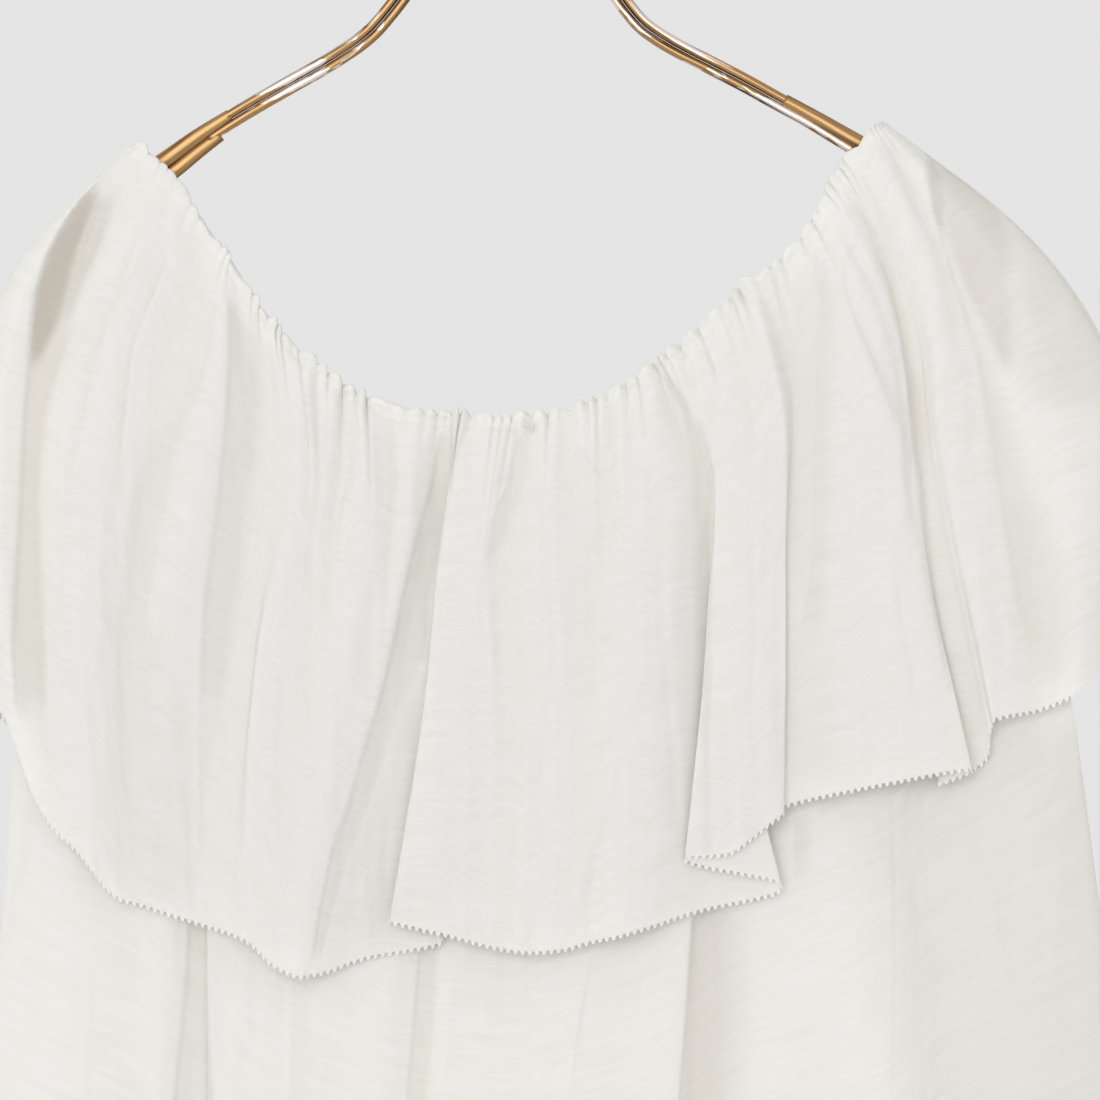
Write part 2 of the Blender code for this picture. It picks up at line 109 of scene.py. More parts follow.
# A line down the cloth: its gather, its x at the four stations, its lower end, and how far it
# stands out at the last three stations
Fold = namedtuple(
    "Fold", "name gather neck upper middle hem hem_z upper_out middle_out hem_out"
)
FLOUNCE_FRONT = [
    Fold("left_seam", 0, -192.0, -246, -268, -266, -521, 0.75, 0.75, 0.75),
    Fold("left_edge", 1, -190.5, -238, -258, -254, -523, 14, 18, 19),
    Fold("left_hollow", 2, -187.0, -225, -242, -240, -561, 8, 10, 18),
    Fold("left_panel", 4, -178.5, -200, -215, -216, -591, 24, 29, 30),
    Fold("left_shade", 7, -161.0, -181, -197, -200, -611, 22, 24, 22),
    Fold("thin_furrow", 10, -145.0, -158, -181, -181, -618, 19, 20, 18),
    Fold("narrow_ridge", 11, -141.5, -146, -168, -166, -623, 28, 26, 18),
    Fold("broad_furrow", 12, -134.5, -133, -145, -156, -626, 17, 17, 19),
    Fold("tall_ridge", 16, -113.5, -106, -125, -133, -634, 29, 34, 35),
    Fold("ridge_crease", 20, -81.0, -82, -97, -114, -649, 25, 30, 36),
    Fold("lobe_ridge", 21, -73.0, -71, -87, -106, -652, 30, 32, 37),
    Fold("lobe_side", 22, -61.5, -62, -78, -99, -651, 24, 27, 31),
    Fold("small_ridge", 23, -48.5, -52, -71, -90, -649, 27, 23, 23),
    Fold("centre_furrow", 24, -37.0, -41, -59, -73, -643, 17, 16, 16),
    Fold("centre_tuck", 25, -30.0, -32, -39, -35, -635, 18.2, 18, 18),
    Fold("centre_turn", 25.33, -28.4, -31, -39, -36, -632, 21, 22, 23.5),
    Fold("centre_edge", 26, -25.0, -34, -43, -57, -626, 23, 26, 30),
    Fold("centre_ridge", 28, -10.0, -16, -27, -37, -630, 31, 34, 36),
    Fold("centre_line", 30, 6.0, -2, 0, -1, -639, 23, 28, 30),
    Fold("middle_ridge", 32, 24.0, 24, 23, 22, -639, 29, 32, 34),
    Fold("crease_hollow", 34, 43.0, 44, 40, 38, -635, 25, 29, 32),
    Fold("right_ridge", 37, 64.0, 71, 74, 69, -627, 31, 34, 35),
    Fold("pleat_mouth", 38, 72.0, 91, 93, 95, -619, 18, 17, 17),
    Fold("pleat_tuck", 39, 76.0, 97, 106, 134, -609, 18.2, 18.3, 18.5),
    Fold("pleat_turn", 39.33, 78.0, 98.5, 105, 133, -605, 21, 22.5, 24),
    Fold("pleat_edge", 40, 83.0, 99, 98, 96, -597, 23.5, 25.5, 30),
    Fold("side_ridge", 42, 96.5, 111, 112, 110, -590, 31, 35, 37),
    Fold("side_face", 45, 116.5, 131, 135, 134, -572, 30, 31, 34),
    Fold("soft_furrow", 48, 138.0, 152, 148, 151, -563, 19, 22, 26),
    Fold("shoulder_ridge", 49, 148.0, 169, 177, 184, -556, 31, 35, 37),
    Fold("curl_edge", 52, 159.0, 187, 202, 228, -550, 25, 27, 31),
    Fold("curl_under", 53, 163.0, 190.5, 206, 213, -556, 17.5, 18.5, 22.5),
    Fold("curl_tuck", 54, 165.0, 194.5, 211, 236, -545, 16.6, 16.8, 17),
    Fold("wing_edge", 55, 167.5, 196, 212.5, 239, -530, 21, 22, 25),
    Fold("wing_ridge", 57, 180.0, 206, 224, 246, -522, 28, 31, 33),
    Fold("wing_hollow", 58, 184.0, 216, 246, 266, -518, 15, 18, 20),
    Fold("wing_outer", 59, 187.0, 237, 278, 285, -508, 16, 21, 23),
    Fold("right_seam", 60, 188.5, 254, 309, 305, -485, 0.75, 0.75, 0.75),
]
FLOUNCE_BACK = [
    Fold("left_seam", 0, -192.0, -246, -268, -266, -521, 0.75, 0.75, 0.75),
    Fold("ridge_1", 2, -188.0, -233, -250, -248, -532, 15, 19, 20),
    Fold("furrow_1", 4, -180.0, -215, -226, -228, -565, 9, 12, 14),
    Fold("ridge_2", 7, -160.0, -188, -200, -200, -596, 22, 26, 28),
    Fold("furrow_2", 10, -143.0, -161, -171, -173, -612, 17.5, 18, 19),
    Fold("ridge_3", 13, -125.0, -136, -143, -141, -627, 26, 29, 31),
    Fold("furrow_3", 17, -101.0, -106, -111, -113, -637, 18, 18, 20),
    Fold("ridge_4", 20, -76.0, -80, -83, -83, -645, 27, 30, 33),
    Fold("furrow_4", 23, -53.0, -52, -53, -56, -646, 19, 20, 22),
    Fold("ridge_5", 26, -28.0, -28, -26, -26, -642, 27, 31, 33),
    Fold("furrow_5", 29, -3.0, -2, 0, 1, -640, 19, 19, 20),
    Fold("ridge_6", 32, 24.0, 27, 29, 32, -642, 28, 31, 34),
    Fold("furrow_6", 35, 49.0, 55, 58, 60, -637, 19, 19, 20),
    Fold("ridge_7", 38, 71.0, 84, 89, 92, -627, 27, 30, 32),
    Fold("furrow_7", 41, 94.0, 111, 118, 122, -610, 18, 18, 20),
    Fold("ridge_8", 44, 118.0, 139, 151, 156, -590, 26, 29, 31),
    Fold("furrow_8", 47, 141.0, 169, 183, 189, -565, 17.5, 18, 19),
    Fold("ridge_9", 50, 163.0, 194, 214, 222, -547, 23, 27, 29),
    Fold("furrow_9", 52, 177.0, 214, 244, 252, -527, 13, 16, 18),
    Fold("ridge_10", 54, 185.0, 236, 279, 284, -509, 16, 20, 22),
    Fold("right_seam", 56, 188.5, 254, 309, 305, -485, 0.75, 0.75, 0.75),
]
BODY_FRONT = [
    Fold("left_side", 0, -176.0, -241, -261, -292, -840, 6.5, 0.75, 0.75),
    Fold("left_ridge", 1, -165.0, -218, -225, -233, -840, 12, 13.5, 18),
    Fold("left_dip", 2, -155.0, -190, -192, -195, -841, 9.5, 10.5, 13),
    Fold("left_rise", 3, -147.0, -173, -176, -181, -842, 12, 14, 18),
    Fold("left_furrow", 4, -140.0, -158, -161, -166, -842, 6.8, 6.8, 7.5),
    Fold("left_tuck", 5, -136.0, -150, -148, -146, -842, 8.8, 8.9, 9.6),
    Fold("left_lap", 6, -130.0, -152, -152, -151, -842, 11, 12, 14),
    Fold("wide_ridge", 7, -105.0, -128, -131, -133, -843, 13, 15, 20),
    Fold("wide_dip", 8, -80.0, -86, -88, -91, -844, 10, 11, 14),
    Fold("centre_rise", 9, -60.0, -60, -65, -70, -844, 13, 14.5, 19),
    Fold("centre_furrow", 10, -38.0, -41, -46, -52, -844, 7, 7, 8),
    Fold("centre_ridge", 11, -25.0, -28, -32, -37, -844, 13, 15, 19),
    Fold("centre_dip", 12, 5.0, 4, 2, -1, -844, 10, 11, 14),
    Fold("crease_ridge", 13, 45.0, 46, 30, 17, -844, 13, 15, 20),
    Fold("crease_dip", 14, 58.0, 64, 54, 44, -843, 10.5, 12, 15),
    Fold("lap_ridge", 15, 75.0, 84, 78, 72, -843, 13, 15, 20),
    Fold("lap_edge", 16, 85.0, 94, 86, 79, -842, 11, 13, 16),
    Fold("lap_furrow", 17, 92.0, 98, 95, 92, -842, 7, 7, 8),
    Fold("right_slope", 18, 110.0, 119, 121, 124, -842, 9.5, 10, 12),
    Fold("right_ridge", 19, 140.0, 179, 188, 194, -841, 13, 15, 20),
    Fold("right_dip", 20, 153.0, 206, 211, 216, -840, 9, 10, 12),
    Fold("side_ridge", 21, 160.0, 236, 246, 259, -838, 12.5, 14.5, 18),
    Fold("side_dip", 22, 166.0, 254, 276, 291, -836, 8.5, 9, 10),
    Fold("right_side", 23, 173.0, 266, 301, 328, -834, 6.5, 0.75, 0.75),
]
BODY_BACK = [
    Fold("left_side", 0, -176.0, -241, -261, -292, -840, 6.5, 0.75, 0.75),
    Fold("ridge_1", 1, -162.0, -212, -220, -230, -840, 12, 13.5, 17),
    Fold("furrow_1", 2, -145.0, -172, -176, -184, -841, 7.5, 8, 9),
    Fold("ridge_2", 3, -120.0, -136, -140, -146, -842, 12.5, 14, 18),
    Fold("furrow_2", 4, -92.0, -98, -101, -106, -842, 7.5, 8, 9),
    Fold("ridge_3", 5, -62.0, -62, -64, -67, -843, 13, 14.5, 18),
    Fold("furrow_3", 6, -32.0, -32, -32, -32, -843, 7.5, 8, 9),
    Fold("ridge_4", 7, 0.0, 2, 4, 6, -843, 13, 14.5, 18),
    Fold("furrow_4", 8, 32.0, 40, 44, 48, -842, 7.5, 8, 9),
    Fold("ridge_5", 9, 64.0, 80, 86, 92, -842, 13, 14.5, 18),
    Fold("furrow_5", 10, 94.0, 120, 130, 140, -841, 7.5, 8, 9),
    Fold("ridge_6", 11, 122.0, 164, 178, 190, -840, 12.5, 14, 18),
    Fold("furrow_6", 12, 148.0, 208, 226, 242, -838, 7.5, 8, 9),
    Fold("ridge_7", 13, 163.0, 244, 266, 285, -836, 12, 13.5, 16),
    Fold("right_side", 14, 173.0, 266, 301, 328, -834, 6.5, 0.75, 0.75),
]

# A soft line pressed into the cloth, from one end to the other. A positive rise stands out.
Crease = namedtuple("Crease", "x0 z0 x1 z1 x2 z2 width rise")
FLOUNCE_FRONT_CREASES = [
    Crease(54, -528, 47, -565, 25, -638, 2.2, 1.3),
    Crease(66, -490, 62, -512, 54, -528, 2.6, 0.9),
    Crease(-16, -510, 2, -535, 19, -560, 1.6, 1.0),
    Crease(165, -308, 186, -356, 202, -402, 1.4, 1.1),
    Crease(-76, -605, -71, -624, -67, -640, 1.3, 0.9),
    Crease(-82, -392, -86, -415, -88, -445, 1.2, 0.8),
    Crease(1, -380, -2, -405, -14, -432, 1.5, 1.0),
    Crease(28, -385, 40, -397, 48, -415, 1.4, 0.8),
    Crease(190, -440, 197, -490, 205, -530, 1.5, -0.9),
    Crease(242, -455, 250, -485, 262, -505, 1.8, 0.8),
    Crease(232, -470, 245, -490, 256, -512, 1.4, 0.8),
    Crease(-198, -300, -225, -350, -238, -410, 1.3, 0.9),
    Crease(-180, -280, -205, -330, -214, -380, 1.4, 0.8),
    Crease(-170, -290, -190, -340, -196, -400, 1.3, -0.8),
    Crease(-130, -420, -128, -470, -134, -520, 2.4, 0.7),
    Crease(-60, -560, -64, -600, -62, -640, 2.0, -0.6),
    Crease(0, -440, -12, -470, -8, -520, 2.4, 0.7),
    Crease(14, -430, 22, -480, 18, -540, 2.2, -0.6),
    Crease(58, -430, 60, -470, 56, -510, 2.0, 0.6),
    Crease(120, -420, 122, -480, 118, -530, 2.2, -0.6),
    Crease(172, -500, 176, -530, 174, -556, 2.0, 0.7),
]
BODY_FRONT_CREASES = [
    Crease(41, -636, 34, -665, 27, -715, 1.8, 1.1),
    Crease(188, -560, 190, -640, 188, -720, 1.5, 0.9),
    Crease(175, -570, 200, -620, 222, -680, 1.8, 0.7),
    Crease(222, -560, 240, -610, 252, -670, 2.0, 0.7),
    Crease(-30, -650, -34, -700, -30, -760, 2.0, 0.6),
    Crease(-110, -640, -112, -700, -108, -770, 2.2, 0.6),
    Crease(-210, -640, -214, -700, -212, -760, 2.0, 0.6),
]

# A band of painted shade down the cloth, where it lies in shade or shows shade through it; unless
# its name ends in tone it also dips the cloth: how deep its painted shade is, how softly its left
# and right sides end, and its height, left side and right side from the top down
Band = namedtuple("Band", "name tone left right line")
FLOUNCE_FRONT_BANDS = [
    Band("wing_top_tone", 1.2, 14, 10, [
        (-235, 208, 245), (-290, 226, 290), (-345, 250, 330), (-370, 262, 330),
    ]),
    Band("wing_low_tone", 1.1, 12, 12, [
        (-410, 244, 262), (-440, 250, 272), (-480, 256, 278), (-505, 262, 276),
    ]),
    # Painted shade where the sheer cloth shows shade through it
    Band("left_sheer_shade_tone", 2.2, 4, 4, [
        (-262, -208, -198), (-290, -217, -206), (-310, -223, -215), (-326, -226, -221),
    ]),
    Band("left_hollow_top", 5.6, 1.5, 6, [
        (-256.5, -209, -206.5), (-270, -220, -210), (-290, -231, -217), (-310, -237.5, -222),
        (-324, -239.5, -226), (-335, -240.5, -231), (-348, -241.5, -237),
    ]),
    Band("left_line", 0.9, 2.5, 1, [
        (-274, -203, -200), (-290, -213, -209), (-310, -222.5, -219), (-330, -226, -223),
    ]),
    Band("left_hollow", 1.4, 2, 3.5, [
        (-327.5, -241, -220), (-365, -243.5, -232), (-390, -245, -236), (-415, -246, -237),
        (-465, -249, -235), (-490, -250, -233.5), (-515, -248, -233.5), (-521, -247, -234),
    ]),
    Band("shoulder_fold", 0.4, 5, 2, [
        (-282.5, -187.5, -185.5), (-315, -203, -197), (-340, -211, -206), (-365, -217, -211),
        (-400, -223, -218),
    ]),
    Band("left_shade", 0.55, 9, 2, [
        (-315, -150.5, -147.5), (-340, -154.5, -150), (-365, -164.5, -157.5), (-390, -181, -168),
        (-415, -190, -172), (-445, -195, -177.5), (-465, -198, -181), (-492.5, -201, -185),
    ]),
    Band("left_shade_low", 0.5, 4.5, 6, [
        (-480, -196, -176), (-515, -200, -162), (-545, -201, -159), (-575, -202, -158),
        (-605, -201, -158), (-617.5, -191, -158),
    ]),
    Band("broad_furrow", 0.95, 2, 6, [
        (-312.5, -142, -139.5), (-340, -141, -127), (-365, -142, -125), (-390, -144, -126),
        (-415, -147, -132), (-440, -150, -133), (-465, -153.5, -137), (-490, -155, -139.5),
        (-515, -155, -144),
    ]),
    Band("broad_furrow_low", 0.5, 2, 5, [
        (-512.5, -155.5, -145), (-540, -156, -149), (-565, -156, -152), (-595, -156.5, -154),
    ]),
    Band("neck_line_1", 0.5, 1.5, 1, [
        (-362.5, -82.5, -81), (-385, -80.5, -78.5), (-405, -81.5, -79.5), (-421, -86, -84.5),
    ]),
    Band("thin_furrow", 0.6, 2.5, 2, [
        (-377.5, -62, -58), (-405, -61, -56.5), (-435, -63, -59.5), (-465, -65, -62),
        (-490, -66.5, -64),
    ]),
    Band("centre_furrow", 1.0, 1.5, 2.5, [
        (-381, -36, -23), (-405, -40, -31), (-440, -49.5, -36), (-465, -55, -41),
        (-490, -60, -42), (-515, -66, -54), (-540, -74, -62), (-565, -81, -70), (-590, -90, -80),
        (-615, -95, -87), (-644, -100, -95),
    ]),
    Band("centre_shade", 0.35, 4, 3, [
        (-500, -57, -43), (-540, -63.5, -46), (-565, -71, -49.5), (-590, -80, -53.5),
        (-615, -88, -57), (-635, -93.5, -56),
    ]),
    Band("centre_line", 0.5, 4.5, 1, [
        (-374, -1, 1), (-385, 3, 5.5), (-395, 6, 8.5), (-405, 3, 7), (-415, -1, 4),
        (-430, -8, -2), (-446, -14, -9.5),
    ]),
    Band("soft_middle", 0.22, 6, 6, [
        (-390, 30, 42), (-440, 26.5, 40), (-490, 25, 39), (-517.5, 24, 38),
    ]),
    Band("neck_line_2", 0.9, 1.5, 1, [
        (-346.5, 70, 73.5), (-360, 79.5, 84), (-370, 85.5, 89), (-387.5, 89.5, 92.5),
    ]),
    Band("neck_line_3", 0.6, 2, 1, [
        (-331.5, 86, 88.5), (-340, 93, 96.5), (-350, 98.5, 102), (-359, 100.5, 103),
    ]),
    Band("neck_line_4", 0.6, 2, 1, [(-338.5, 80, 82.5), (-350, 84, 87), (-361, 87.5, 90)]),
    Band("pleat_mouth", 1.0, 4.5, 1, [
        (-375, 89, 94), (-390, 91, 98.5), (-400, 91.5, 100.5), (-415, 91.5, 100),
        (-465, 92, 99.5), (-515, 94, 99), (-545, 95.5, 98), (-565, 96.5, 98.5),
        (-593.5, 97.5, 99.5),
    ]),
    Band("side_shade", 0.45, 5, 1.5, [
        (-299, 144, 150), (-315, 141.5, 153.5), (-340, 140, 151.5), (-365, 139, 150.5),
        (-390, 138, 149.5), (-415, 137, 149.5), (-440, 139, 149.5), (-465, 144, 148),
    ]),
    Band("side_furrow", 0.8, 1, 7, [
        (-294, 150, 154), (-315, 153.5, 159), (-340, 152, 160), (-365, 151, 159),
        (-390, 150, 158), (-415, 150, 159), (-440, 149.5, 158), (-465, 147, 157),
        (-485, 144, 155),
    ]),
    Band("side_low", 0.4, 8, 8, [
        (-465, 148, 157), (-490, 139, 159), (-515, 133, 162), (-540, 133, 165), (-556, 140, 163),
    ]),
    Band("wing_line", 0.7, 1, 1.5, [
        (-292.5, 164, 165.5), (-302.5, 165.5, 167), (-310, 164.5, 166.5), (-330, 172, 174),
        (-355, 182.5, 184.5), (-380, 192.5, 195), (-399, 200.5, 203),
    ]),
    Band("curl_furrow", 1.0, 2, 3, [
        (-265, 170, 172), (-280, 178, 181.5), (-295, 184, 188), (-315, 190.5, 194),
        (-340, 195, 200), (-365, 198, 204.5), (-385, 200, 206.5), (-405, 204, 207.5),
        (-425, 206.5, 209), (-445, 208, 210.5), (-465, 210, 212), (-485, 213, 215),
        (-511, 218, 220),
    ]),
    Band("curl_furrow_2", 0.5, 1.5, 2, [
        (-254, 174.5, 176.5), (-275, 183.5, 186.5), (-296, 188, 190.5),
    ]),
    Band("wing_furrow_top", 3.2, 1.5, 2.5, [
        (-240, 208, 210), (-252.5, 208.5, 215.5), (-267.5, 211, 217), (-281, 214, 216.5),
    ]),
    Band("wing_furrow", 0.8, 2, 8, [
        (-277.5, 213, 216), (-300, 219, 223), (-315, 224, 229), (-340, 231.5, 236.5),
        (-365, 236.5, 244.5), (-390, 240, 253), (-415, 244, 260), (-440, 248, 265),
        (-465, 253, 265), (-487.5, 260, 268),
    ]),
    # Painted shade where the sheer cloth shows shade through it
    Band("wing_sheer_shade", 2.2, 5, 12, [
        (-242.5, 212, 222), (-255, 213, 234), (-270, 215, 246), (-285, 219, 252),
        (-302.5, 225, 250), (-330, 238, 252), (-350, 246, 253),
    ]),
]
# Bands of painted shade on the body's front, laid out as above
BODY_FRONT_BANDS = [
    Band("right_tone", 1.2, 30, 20, [
        (-525, 175, 295), (-590, 175, 300), (-640, 185, 310), (-715, 195, 318), (-850, 215, 335),
    ]),
    Band("left_furrow", 1.1, 1.5, 1, [
        (-617.5, -162, -153), (-645, -163, -152.5), (-665, -164.5, -152.5), (-690, -167, -151.5),
        (-715, -169.5, -150), (-830, -180, -145),
    ]),
    Band("centre_furrow", 0.9, 1.5, 3, [
        (-632.5, -46, -38), (-665, -48.5, -39), (-690, -50.5, -41), (-715, -52.5, -43.5),
        (-830, -61, -50),
    ]),
    Band("lap_furrow", 2.0, 1, 20, [
        (-617.5, 91, 111.5), (-645, 89, 113), (-665, 88, 114), (-690, 86, 113), (-715, 84, 111),
        (-830, 76, 106.5),
    ]),
    Band("under_lap", 0.9, 1, 6, [(-571, 141.5, 149), (-595, 141.5, 148.5), (-606, 142, 146.5)]),
    Band("right_soft", 0.4, 4.5, 8, [
        (-560, 196.5, 206.5), (-615, 196.5, 216.5), (-640, 201.5, 220), (-665, 209, 222),
        (-695, 213, 225), (-790, 216.5, 231.5),
    ]),
    Band("left_soft", 0.35, 3, 4, [
        (-565, -243, -240.5), (-595, -247, -243), (-615, -251.5, -247.5), (-640, -256, -252.5),
    ]),
    Band("left_strip", 0.22, 5, 6, [(-652.5, -108, -100), (-690, -110, -101), (-765, -113, -103)]),
    Band("hem_shade", 0.6, 4, 15, [(-557.5, 144, 169), (-567.5, 151.5, 174), (-576, 163, 173)]),
]

# The hanger's arms from the shoulders to the collar, between their two rods
LEFT_ARM = [
    (-154.0, -231.4),
    (-142.0, -223.6),
    (-116.0, -208.2),
    (-88.0, -192.0),
    (-72.5, -181.0),
    (-58.5, -165.0),
    (-45.0, -146.0),
    (-31.0, -125.0),
    (-16.5, -103.0),
    (-7.5, -89.0),
]
RIGHT_ARM = [
    (148.0, -222.0),
    (134.0, -214.4),
    (117.5, -205.2),
    (99.0, -195.6),
    (80.5, -186.0),
    (65.0, -175.4),
    (54.5, -162.5),
    (43.0, -145.0),
    (30.0, -125.0),
    (16.0, -103.0),
    (7.5, -89.0),
]
ROD_RADIUS = 2.3
ROD_SPACING = 4.8
HOOK_RADIUS = 21.4
COLLAR_TOP = -59.0
COLLAR_BOTTOM = -75.7

# The sleeves at the shoulders: centre and half the height there. The left one wraps both rods
# and dips between them; the right one wraps the upper rod, and the lower rod runs on beside it.
LEFT_SLEEVE = [
    (-140.6, -223.2, 5.6),
    (-158.0, -235.2, 6.9),
    (-174.8, -247.8, 7.8),
    (-190.0, -257.6, 7.8),
    (-198.0, -262.8, 6.8),
    (-202.0, -265.4, 4.4),
]
RIGHT_SLEEVE = [
    (137.0, -213.6, 3.2),
    (153.0, -222.6, 3.6),
    (173.3, -234.6, 4.2),
    (189.0, -243.6, 4.6),
    (197.0, -248.4, 4.4),
    (201.0, -250.9, 3.2),
]
RIGHT_ROD_END = [(158.0, -230.9), (172.0, -239.6)]


def smooth(knots, values, at):
    """Cubic through the values, with each knot's slope taken from its neighbours."""
    knots = np.asarray(knots, float)
    values = np.asarray(values, float)
    at = np.asarray(at, float)
    flat = (-1, *[1] * (values.ndim - 1))
    steps = np.diff(knots)
    rises = np.diff(values, axis=0) / steps.reshape(flat)
    slopes = np.empty_like(values)
    slopes[0], slopes[-1] = rises[0], rises[-1]
    before, after = steps[:-1].reshape(flat), steps[1:].reshape(flat)
    slopes[1:-1] = (rises[:-1] * after + rises[1:] * before) / (before + after)
    k = np.clip(np.searchsorted(knots, at, side="right") - 1, 0, len(steps) - 1)
    h = steps[k].reshape(flat)
    t = ((at - knots[k]) / steps[k]).reshape(flat)
    return (
        values[k] * (2 * t**3 - 3 * t**2 + 1)
        + slopes[k] * h * (t**3 - 2 * t**2 + t)
        + values[k + 1] * (3 * t**2 - 2 * t**3)
        + slopes[k + 1] * h * (t**3 - t**2)
    )


def neck_height(x):
    return smooth([e.x for e in NECKLINE], [e.z for e in NECKLINE], np.atleast_1d(x))


def neck_slope(x):
    return (neck_height(x + 1.0) - neck_height(x - 1.0)) / 2.0


def below_neck(x, drop):
    """The points this far inside the cloth from the neckline."""
    slope = neck_slope(x)
    length = np.hypot(1.0, slope)
    return x + drop * slope / length, neck_height(x) - drop / length


def turned_depth(x, low, high, depth):
    inside = np.minimum(np.minimum(x - low, high - x), depth) / depth
    return depth * np.sqrt(np.maximum(0.0, 1.0 - (1.0 - inside) ** 2))


def flounce_top(x):
    depth = turned_depth(x, NECKLINE[0].x, NECKLINE[-1].x, FLOUNCE_NECK_DEPTH)
    return x, neck_height(x), np.maximum(depth, SEAM_DEPTH)


def body_top(x):
    px, pz = below_neck(x, BODY_DROP)
    return px, pz, np.full(len(x), BAND_DEPTH)


# Ease is the depth that the hanging cloth settles towards, and the share of the way: 1 is flat
Panel = namedtuple("Panel", "folds top stations side neck_gathers armholes creases bands ease")
PANELS = {
    "flounce_front": Panel(
        FLOUNCE_FRONT, flounce_top, FLOUNCE_STATIONS, -1, 66, False,
        FLOUNCE_FRONT_CREASES, FLOUNCE_FRONT_BANDS, (20.5, 0.6),
    ),
    "flounce_back": Panel(
        FLOUNCE_BACK, flounce_top, FLOUNCE_STATIONS, 1, 60, False, [], [], (20.5, 0.1)
    ),
    "body_front": Panel(
        BODY_FRONT, body_top, BODY_STATIONS, -1, 54, True,
        BODY_FRONT_CREASES, BODY_FRONT_BANDS, (10.5, 0.5),
    ),
    "body_back": Panel(BODY_BACK, body_top, BODY_STATIONS, 1, 50, True, [], [], (10.5, 0.0)),
}


def uneven(count, seed):
    """A value from 0 to 1 that differs from one gather to the next without any order."""
    whole = np.arange(math.floor(float(np.min(count))) - 1, float(np.max(count)) + 3)
    chance = np.modf(np.abs(np.sin(whole * 12.9898 + seed * 78.233) * 43758.5453))[0]
    return smooth(whole, chance, count)


def gather_wave(count):
    """Irregular gathers: one full wave for each, some deeper and wider than others."""
    turn = 2 * math.pi * count
    shifted = turn + 1.6 * np.sin(turn / 5.3) + 1.3 * np.sin(turn / 2.9 + 1.0)
    depth = 0.35 + 1.3 * uneven(count, 1.7)
    return 2.0 * np.abs(np.cos(shifted / 2.0)) ** 0.6 - 1.0, depth


def crease_rise(creases, x, z):
    """How far the pressed lines lift the cloth."""
    rise = np.zeros_like(x)
    for c in creases:
        runs = ((c.x0, c.z0, c.x1, c.z1, 0.0), (c.x1, c.z1, c.x2, c.z2, 0.5))
        nearest = np.full_like(x, 1e9)
        along = np.zeros_like(x)
        for ax, az, bx, bz, start in runs:
            dx, dz = bx - ax, bz - az
            t = np.clip(((x - ax) * dx + (z - az) * dz) / (dx * dx + dz * dz), 0.0, 1.0)
            away = np.hypot(x - ax - t * dx, z - az - t * dz)
            closer = away < nearest
            nearest = np.where(closer, away, nearest)
            along = np.where(closer, start + t / 2, along)
        fade = np.clip(np.minimum(along, 1.0 - along) / 0.2, 0.0, 1.0)
        rise += c.rise * fade * np.exp(-((nearest / c.width) ** 2))
    return rise


def ripples(x, z):
    """Faint uneven waves that hanging cloth keeps between its folds."""
    lean = 0.9 * np.sin(x / 17.0) + 1.7 * np.sin(z / 41.0)
    broad = 0.34 * np.sin(x / 2.5 + lean) * (0.6 + 0.4 * np.sin(z / 57.0 + x / 23.0))
    narrow = 0.16 * np.sin(x / 1.3 + z / 90.0 + 2.1 * np.sin(z / 37.0 + x / 50.0))
    slanted = 0.22 * np.sin((x + 0.55 * z) / 6.1 + 1.3 * np.sin(z / 29.0)) * np.sin(z / 33.0 + 1.0)
    return broad + narrow * np.sin(x / 9.0 + z / 71.0) + slanted


def band_amounts(bands, x, z):
    """How far each point lies in the bands: the depth of their dip and of their painted shade."""
    deepest = np.zeros_like(x)
    for band in bands:
        line = np.array(band.line)[::-1]
        left = np.interp(z, line[:, 0], line[:, 1])
        right = np.interp(z, line[:, 0], line[:, 2])
        past_left = np.clip((x - left) / max(band.left, 1.8) + 0.5, 0.0, 1.0)
        past_right = np.clip((right - x) / max(band.right, 1.8) + 0.5, 0.0, 1.0)
        ends = np.clip(np.minimum(z - line[0, 0] + 4.0, line[-1, 0] + 4.0 - z) / 11.0, 0.0, 1.0)
        amount = band.tone * past_left * past_right * ends
        deepest = np.maximum(deepest, amount)
    return deepest


def drape(panel, at, v):
    """The panel's points, gather by gather and row by row: x, depth and z in millimetres."""
    folds = panel.folds
    x0, z0, out0 = panel.top(np.array([f.neck for f in folds], float))
    table = np.array([f[4:6] for f in folds], float)
    x = smooth(panel.stations, np.array([x0, [f.upper for f in folds], *table.T]), v)
    outs = [[f.upper_out for f in folds], [f.middle_out for f in folds], [f.hem_out for f in folds]]
    out = smooth(panel.stations, np.array([out0, *outs]), v)
    z = z0 + (np.array([f.hem_z for f in folds]) - z0) * v[:, None]
    if panel.armholes:
        for end in (0, -1):
            closing = np.clip(0.5 + (z[:, end] - UNDERARM) / ARMHOLE_END, 0.0, 1.0)
            side = SEAM_DEPTH + (ARMHOLE_DEPTH - SEAM_DEPTH) * closing
            out[:, end] = np.maximum(
                side, out0[end] + (ARMHOLE_DEPTH - out0[end]) * v / ARMHOLE_START
            )
    level, share = panel.ease
    eased = np.clip(v[:, None] / 0.2, 0.0, 1.0) * share * (level - out)
    if not panel.armholes:
        eased -= 4.0 * np.clip((v[:, None] - 0.72) / 0.28, 0.0, 1.0) ** 2
    eased[:, [0, -1]] = 0.0
    out = np.maximum(out + eased, SEAM_DEPTH)
    rows = np.stack([x, out, z], axis=2)
    ends = []
    for edge, inner in ((0, 1), (-1, -2)):
        mirrored = rows[:, inner].copy()
        mirrored[:, 1] = 2 * rows[:, edge, 1] - rows[:, inner, 1]
        ends.append(mirrored[:, None])
    rows = np.concatenate([ends[0], rows, ends[1]], axis=1)
    knots = [f.gather for f in folds]
    knots = [knots[0] - 1.0, *knots, knots[-1] + 1.0]
    return smooth(knots, np.moveaxis(rows, 1, 0), at)


